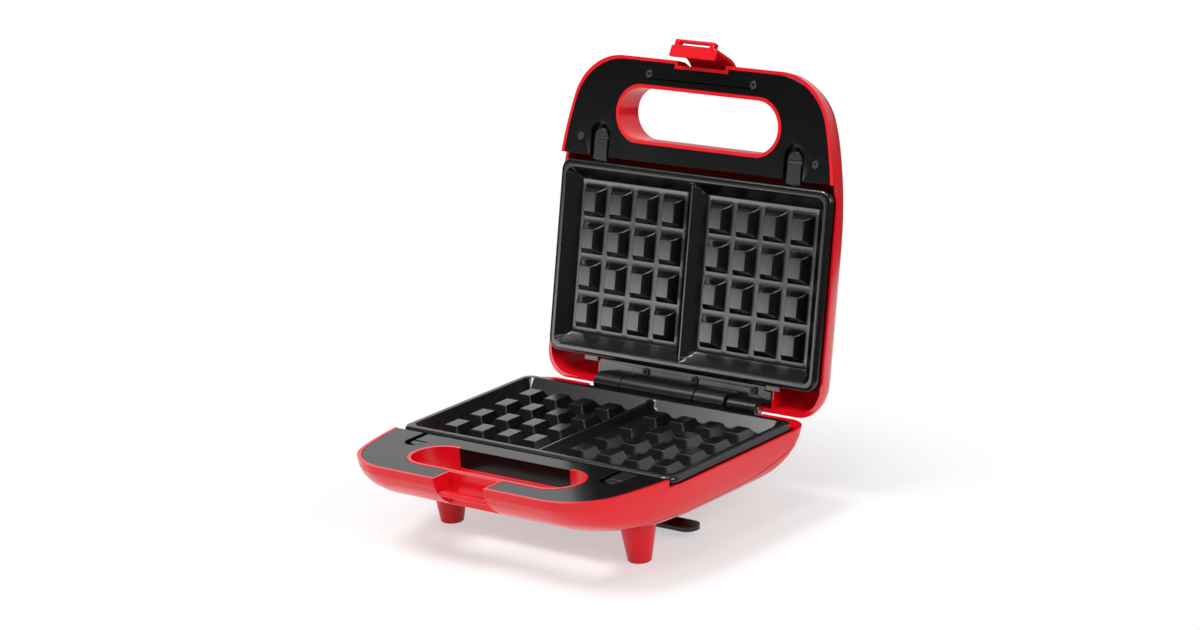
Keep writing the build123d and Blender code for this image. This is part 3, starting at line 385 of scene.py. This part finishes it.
def screw_tree(head_object):
    """Geometry Nodes that put a turned copy of the head on each point of a mesh."""
    tree = bpy.data.node_groups.new("screws_on_seats", "GeometryNodeTree")
    face = tree.interface
    face.new_socket("Geometry", in_out="INPUT", socket_type="NodeSocketGeometry")
    for name, kind, value in (("Head size", "NodeSocketFloat", 1.0), ("Seed", "NodeSocketInt", 3)):
        face.new_socket(name, in_out="INPUT", socket_type=kind).default_value = value
    face.new_socket("Geometry", in_out="OUTPUT", socket_type="NodeSocketGeometry")
    group_in = add_node(tree, "NodeGroupInput").outputs
    head = add_node(tree, "GeometryNodeObjectInfo", {"Object": head_object}).outputs["Geometry"]
    turn = add_node(
        tree, "FunctionNodeRandomValue", {2: 0.0, 3: FULL_TURN, "Seed": group_in["Seed"]}, data_type="FLOAT"
    ).outputs[1]
    turn = add_node(tree, "ShaderNodeCombineXYZ", {"Z": turn}).outputs[0]
    placed = add_node(
        tree, "GeometryNodeInstanceOnPoints",
        {"Points": group_in["Geometry"], "Instance": head, "Rotation": turn,
         "Scale": group_in["Head size"]},
    ).outputs["Instances"]
    real = add_node(tree, "GeometryNodeRealizeInstances", {"Geometry": placed}).outputs[0]
    dressed = add_node(
        tree, "GeometryNodeSetMaterial", {"Geometry": real, "Material": dark_steel}
    ).outputs[0]
    add_node(tree, "NodeGroupOutput", {"Geometry": dressed})
    return tree


head_object = bpy.data.objects.new("screw_pattern", screw_mesh())
seats_tree = screw_tree(head_object)
facing_down = Matrix.Rotation(pi, 4, "X")
hinge_spots = ((-30, -10.8), (12, -10.8), (62, -10.8))
# Each row: solid, matrix, height of the seat, whether the heads face down, finish, and
# the spots. A third number lifts that screw's seat above the others.
screw_groups = (
    (
        "lid_screws", to_lid, 65.7, True, dark_steel,
        ((-44.1, -216.5), (44.1, -216.5), (-99.7, -168.3), (99.7, -168.3)),
    ),
    ("lid_hinge_screws", to_lid, 69.6, True, black_zinc, hinge_spots),
    ("base_hinge_screws", to_base, 58.4, False, black_zinc, hinge_spots),
    (
        "winder_screws", to_base, 6.0, True, dark_steel,
        ((-22, -92), (22, -92), (-22, -52), (22, -52)),
    ),
    (
        "cover_screws", to_base, 30.0, True, dark_steel,
        ((-52, -165.2), (52, -165.2), (-98, -12.5, 16.3), (98, -12.5, 16.3)),
    ),
)
for node, matrix, seat_z, downwards, finish, spots in screw_groups:
    seats = bpy.data.meshes.new(node + "_seats")
    side = -1 if downwards else 1
    seats.from_pydata(
        [(x * MM, side * y * MM, side * sum(rise) * MM) for x, y, *rise in spots], [], []
    )
    holder = bpy.data.objects.new("helper", seats)
    bpy.context.scene.collection.objects.link(holder)
    modifier = holder.modifiers.new("screws", "NODES")
    modifier.node_group = seats_tree
    mesh = baked(holder)
    bpy.data.objects.remove(holder)
    if downwards:
        mesh.transform(facing_down)
    mesh.transform(Matrix.Translation((0, 0, seat_z * MM)))
    mesh.transform(matrix @ Matrix.Scale(1 / MM, 4))
    place_piece(mesh, node + "_heads", node, finish)
bpy.data.objects.remove(head_object)
print("screws made")

# %% [markdown]
# Each baking plate is one casting whose surface follows a rule, so it is worked out
# as heights over a fine grid: a flat rim, sloped walls, a low bar between the two
# halves and rows of blunt studs. Where two slopes meet, a smooth maximum blends them
# as a cast and coated corner is blended. The rim then rolls over into the skirt.

# %% Baking plate
RIM_Z = 63.7
FLOOR_Z = 54.9
PLATE_HALF = 115.0
PLATE_Y = (-152.5, -16.0)
PLATE_CORNER_R = 9.0
EDGE = 4.3
RIM_FLAT, ROLL_R, ROLL_STEPS = 1.3, 3, 6
SKIRT = ((4.3, 57.9), (3.9, 57.5), (-3.7, 57.5), (-3.7, 52.6), (-4.1, 52.2))
UNDERSIDE_Z = 52.2
CAVITY_X, CAVITY_Y, CAVITY_CORNER_R, WALL_SLOPE = 109.4, 62.65, 6.0, 1.05
BAR_TOP_Z, BAR_SLOPE = 62.7, 1.114
HALF_MIDDLE_X = 54.3
STUD_PITCH_X, STUD_PITCH_Y = 22.8, 26.1
# Half sizes of a stud at its top and at its foot.
STUD_X, STUD_Y = (5.1, 8.9), (7.0, 10.85)
STUD_SLOPE_X, STUD_SLOPE_Y, STUD_HEIGHT = 1.79, 1.77, 6.8
# Further grid lines, where the bar and the walls start and end.
NEAR_X = (0.9, 4.5, 7.9, 99.2, 101, 103.4, 104.4, 105.4, 106.4, 107.4, 108.4, 109.4)
NEAR_Y = (54.3, 56.65, 57.65, 58.65, 59.65, 60.65, 61.65, 62.65)
LUG_THICK, LUG_MID_Z, LUG_ROUND = 2.2, 58.8, 0.4
# Each lug: middle along X, width, front, back.
LUGS = ((82.25, 10.0, -155.6, -151.0), (78.0, 12.0, -17.0, -12.9))
PLATE_SHARP_ANGLE = radians(50)


def fine_lines(centres, edges, extra, half):
    """Grid lines that crowd round each edge of each stud, so that edges stay crisp."""
    found = {-half, half, 0.0}
    breaks = [c + s * e for c in centres for s in (-1, 1) for e in edges] + list(extra)
    for at in breaks:
        found.update(at + d for d in (-0.42, -0.14, 0.14, 0.42))
    for c in centres:
        found.add(c)
        for s in (-1, 1):
            found.update(c + s * (edges[0] + (edges[1] - edges[0]) * t) for t in (0.3, 0.5, 0.7))
    found = sorted(v for v in found if -half <= v <= half)
    kept = [found[0]]
    for v in found[1:-1]:
        if v - kept[-1] > 0.09 and found[-1] - v > 0.09:
            kept.append(v)
    return np.array(kept + [found[-1]])


def smooth_max(a, b, width):
    """The greater of two heights, blended where they differ by less than width."""
    overlap = np.maximum(width - np.abs(a - b), 0) / width
    return np.maximum(a, b) + overlap * overlap * width / 4


def smooth_min(a, b, width):
    return -smooth_max(-a, -b, width)


def rounded_distance(x, y, half_x, half_y, radius):
    """Distance from the outline of a rounded rectangle, negative inside it."""
    over_x = np.abs(x) - (half_x - radius)
    over_y = np.abs(y) - (half_y - radius)
    outside = np.hypot(np.maximum(over_x, 0), np.maximum(over_y, 0))
    return outside + np.minimum(np.maximum(over_x, over_y), 0) - radius


def from_stud(at, pitch):
    """Distance from the nearest stud in a row of four."""
    return at - pitch * np.clip(np.round((at - pitch / 2) / pitch) + 0.5, -1.5, 1.5)


def plate_height(x, y):
    """Height of the plate's upper side, with y measured from the plate's middle."""
    inside = rounded_distance(x, y, CAVITY_X, CAVITY_Y, CAVITY_CORNER_R)
    walls = RIM_Z + smooth_min(0 * x, inside * WALL_SLOPE, 0.3)
    bar = smooth_min(BAR_TOP_Z + 0 * x, RIM_Z - np.abs(x) * BAR_SLOPE, 0.3)
    stud_x = from_stud(np.abs(x) - HALF_MIDDLE_X, STUD_PITCH_X)
    stud_y = from_stud(y, STUD_PITCH_Y)
    slope_x = (STUD_X[1] - np.abs(stud_x)) * STUD_SLOPE_X
    slope_y = (STUD_Y[1] - np.abs(stud_y)) * STUD_SLOPE_Y
    slopes = smooth_min(slope_x, slope_y, 0.4)
    studs = FLOOR_Z + smooth_min(slopes, STUD_HEIGHT + 0 * x, 0.35)
    height = smooth_max(FLOOR_Z + 0 * x, walls, 0.7)
    height = smooth_max(height, bar, 0.7)
    return smooth_max(height, studs, 0.5)


def rounded_corners(xs, ys, half_x, half_y, corner):
    """Pull the grid's points outside the plate's round corners in onto them."""
    over_x = np.abs(xs) - (half_x - corner)
    over_y = np.abs(ys) - (half_y - corner)
    away = np.hypot(over_x, over_y)
    outside = (over_x > 0) & (over_y > 0) & (away > corner)
    pull = np.where(outside, corner / np.maximum(away, 1e-9), 1.0)
    xs = np.where(pull < 1, np.sign(xs) * (half_x - corner + over_x * pull), xs)
    ys = np.where(pull < 1, np.sign(ys) * (half_y - corner + over_y * pull), ys)
    return xs, ys


def outward_at(x, y, half_x, half_y, corner):
    """Unit vector that points out of the plate at a point of its grid's edge."""
    out_x = max(abs(x) - (half_x - corner), 0)
    out_y = max(abs(y) - (half_y - corner), 0)
    if out_x < 1e-6 or out_y < 1e-6:
        if half_x - abs(x) < half_y - abs(y):
            out_x, out_y = 1, 0
        else:
            out_x, out_y = 0, 1
    length = sqrt(out_x * out_x + out_y * out_y)
    return out_x / length * (1 if x > 0 else -1), out_y / length * (1 if y > 0 else -1)


def plate_mesh(name):
    """Upper side from the height rule, then rings that roll down into the skirt."""
    mid_y = sum(PLATE_Y) / 2
    half_x = PLATE_HALF - EDGE
    half_y = (PLATE_Y[1] - PLATE_Y[0]) / 2 - EDGE
    corner = PLATE_CORNER_R - EDGE
    columns = [s * (HALF_MIDDLE_X + (i - 1.5) * STUD_PITCH_X) for s in (-1, 1) for i in range(4)]
    rows = [(j - 1.5) * STUD_PITCH_Y for j in range(4)]
    x_lines = fine_lines(columns, STUD_X, NEAR_X + tuple(-v for v in NEAR_X), half_x)
    y_lines = fine_lines(rows, STUD_Y, NEAR_Y + tuple(-v for v in NEAR_Y), half_y)
    nx, ny = len(x_lines), len(y_lines)
    xs, ys = rounded_corners(*np.meshgrid(x_lines, y_lines), half_x, half_y, corner)
    zs = plate_height(xs, ys)
    verts = np.stack([xs.ravel(), ys.ravel() + mid_y, zs.ravel()], axis=1).tolist()
    faces = []
    for j in range(ny - 1):
        for i in range(nx - 1):
            a = j * nx + i
            faces.append((a, a + 1, a + nx + 1, a + nx))
    loop = list(range(nx))
    loop += [j * nx + nx - 1 for j in range(1, ny)]
    loop += [(ny - 1) * nx + i for i in range(nx - 2, -1, -1)]
    loop += [j * nx for j in range(ny - 2, 0, -1)]
    edge = [verts[k] for k in loop]
    outward = [outward_at(x, y - mid_y, half_x, half_y, corner) for x, y, _ in edge]
    profile = [(RIM_FLAT, RIM_Z)]
    for step in range(1, ROLL_STEPS + 1):
        turn = radians(90 / ROLL_STEPS * step)
        profile.append((RIM_FLAT + ROLL_R * sin(turn), RIM_Z - ROLL_R * (1 - cos(turn))))
    profile += SKIRT
    start = loop
    for out, z in profile:
        ring = range(len(verts), len(verts) + len(loop))
        for point, (out_x, out_y) in zip(edge, outward):
            verts.append((point[0] + out_x * out, point[1] + out_y * out, z))
        for k in range(len(loop)):
            n = (k + 1) % len(loop)
            faces.append((start[n], start[k], ring[k], ring[n]))
        start = ring
    centre = len(verts)
    verts.append((0, mid_y, UNDERSIDE_Z))
    for k in range(len(loop)):
        faces.append((centre, start[(k + 1) % len(loop)], start[k]))
    mesh = bpy.data.meshes.new(name)
    mesh.from_pydata(verts, [], faces)
    return mesh


def add_lug(work, x_mid, width, y_low, y_high):
    """A small rounded block that the release levers and the rear seats hold."""
    made = bmesh.ops.create_cube(work, size=1.0)["verts"]
    bmesh.ops.scale(work, vec=(width, y_high - y_low, LUG_THICK), verts=made)
    bmesh.ops.translate(work, vec=(x_mid, (y_low + y_high) / 2, LUG_MID_Z), verts=made)
    edges = {e for v in made for e in v.link_edges}
    bmesh.ops.bevel(work, geom=list(edges), offset=LUG_ROUND, segments=2, affect="EDGES")


for matrix, node in ((to_base, "lower_baking_plate"), (to_lid_mirrored, "upper_baking_plate")):
    mesh = plate_mesh(node + "_casting")
    work = bmesh.new()
    work.from_mesh(mesh)
    for side in (-1, 1):
        for x_mid, width, y_low, y_high in LUGS:
            add_lug(work, side * x_mid, width, y_low, y_high)
    bmesh.ops.transform(work, matrix=matrix, verts=work.verts)
    bmesh.ops.recalc_face_normals(work, faces=work.faces)
    work.to_mesh(mesh)
    work.free()
    for face in mesh.polygons:
        face.use_smooth = True
    mesh.set_sharp_from_angle(angle=PLATE_SHARP_ANGLE)
    place_piece(mesh, node + "_casting", node, nonstick)
print("plates made")

# %% [markdown]
# The table is a small round pale sheet. Near the object it is lit and keeps a soft shadow, which a painted white
# glow at half strength lightens, and further out it glows as white as the backdrop, so its rim isn't seen.
# Reflections see the same glow.

# %% Table
FLOOR_R, FLOOR_POINTS = 0.62, 64
floor_mesh = bpy.data.meshes.new("floor")
turns = np.linspace(0, 2 * pi, FLOOR_POINTS + 1)[:-1]
rim = [(FLOOR_R * cos(a), FLOOR_R * sin(a), 0) for a in turns]
floor_mesh.from_pydata(rim, [], [tuple(range(FLOOR_POINTS))])
floor = bpy.data.objects.new("floor", floor_mesh)
bpy.context.scene.collection.objects.link(floor)
table_white, tree = new_material("pale_table")
place = add_node(tree, "ShaderNodeTexCoord").outputs["Object"]
mottle = add_node(tree, "ShaderNodeTexNoise", {"Vector": place, "Scale": 3.0}).outputs["Fac"]
tone = add_node(
    tree, "ShaderNodeMix", {0: mottle, 6: linear("#F6F6F6"), 7: linear("#F9F9F9")}, data_type="RGBA"
).outputs[2]
matt = add_node(tree, "ShaderNodeBsdfPrincipled", {"Base Color": tone, "Roughness": 0.5}).outputs[0]
reach = add_node(tree, "ShaderNodeVectorMath", {0: place}, operation="LENGTH").outputs["Value"]
fade = add_node(
    tree, "ShaderNodeMapRange",
    {"Value": reach, "From Min": 0.1, "From Max": 0.3, "To Min": 0.5, "To Max": 1.0},
    interpolation_type="SMOOTHSTEP",
).outputs["Result"]
rays = add_node(tree, "ShaderNodeLightPath").outputs
seen = add_node(
    tree, "ShaderNodeMath", {0: rays["Is Camera Ray"], 1: rays["Is Glossy Ray"]}, operation="MAXIMUM"
).outputs[0]
# Camera and glossy rays see a painted white glow: half of it near the object, where it lightens the shadow, and
# all of it further out.
share = add_node(tree, "ShaderNodeMath", {0: fade, 1: seen}, operation="MULTIPLY").outputs[0]
white = add_node(tree, "ShaderNodeEmission", {"Color": (1, 1, 1, 1), "Strength": 1.0}).outputs[0]
paper = add_node(tree, "ShaderNodeMixShader", {0: share, 1: matt, 2: white}).outputs[0]
add_node(tree, "ShaderNodeOutputMaterial", {"Surface": paper})
floor_mesh.materials.append(table_white)
print("table made")

# %% [markdown]
# To the camera the room is plain white. To reflections it is dark in front and pale
# behind, which keeps the glossy black panels black. A broad lamp high at the left
# gives the shapes their shading, two smaller ones fill from the right and above, and
# a low card puts the grey sheen on the plates.

# %% Room and lamps
world = bpy.data.worlds.new("room")
bpy.context.scene.world = world
world.use_nodes = True
tree = world.node_tree
tree.nodes.clear()
rays = add_node(tree, "ShaderNodeLightPath").outputs
towards = add_node(tree, "ShaderNodeTexCoord").outputs["Generated"]
towards = add_node(tree, "ShaderNodeSeparateXYZ", {"Vector": towards}).outputs
back = add_node(
    tree, "ShaderNodeMapRange",
    {"Value": towards["Y"], "From Min": 0.15, "From Max": 0.6, "To Min": 0.0, "To Max": 0.9},
    interpolation_type="SMOOTHSTEP",
).outputs["Result"]
above = add_node(
    tree, "ShaderNodeMapRange", {"Value": towards["Z"], "From Min": -0.1, "From Max": 0.05}
).outputs["Result"]
studio = add_node(
    tree, "ShaderNodeMath", {0: back, 1: above, 2: 0.1}, operation="MULTIPLY_ADD"
).outputs[0]
shine = add_node(
    tree, "ShaderNodeMath", {0: rays["Is Glossy Ray"], 1: rays["Is Transmission Ray"]}, operation="MAXIMUM"
).outputs[0]
level = add_node(tree, "ShaderNodeMix", {0: shine, 2: 0.3, 3: studio}, data_type="FLOAT").outputs[0]
level = add_node(
    tree, "ShaderNodeMix", {0: rays["Is Camera Ray"], 2: level, 3: 1.0}, data_type="FLOAT"
).outputs[0]
sky = add_node(tree, "ShaderNodeBackground", {"Color": (1, 1, 1, 1), "Strength": level})
add_node(tree, "ShaderNodeOutputWorld", {"Surface": sky.outputs[0]})


LAMP_AIM = Vector((0, 0, 0.12))


def softbox(name, spot, size, power):
    """A square lamp that points at the object."""
    lamp = bpy.data.lights.new(name, "AREA")
    lamp.shape = "SQUARE"
    lamp.size = size
    lamp.energy = power
    holder = bpy.data.objects.new(name, lamp)
    bpy.context.scene.collection.objects.link(holder)
    holder.location = spot
    holder.rotation_euler = (LAMP_AIM - Vector(spot)).to_track_quat("-Z", "Y").to_euler()


softbox("key_softbox", (-0.8, -0.9, 2.3), 0.9, 46.0)
softbox("low_card", (-1.47, -1.83, 0.0), 0.68, 7.5)
softbox("right_softbox", (1.8, -0.6, 1.2), 0.8, 20.0)
softbox("top_softbox", (0.4, -0.8, 2.1), 0.5, 6.0)
print("room and lamps made")
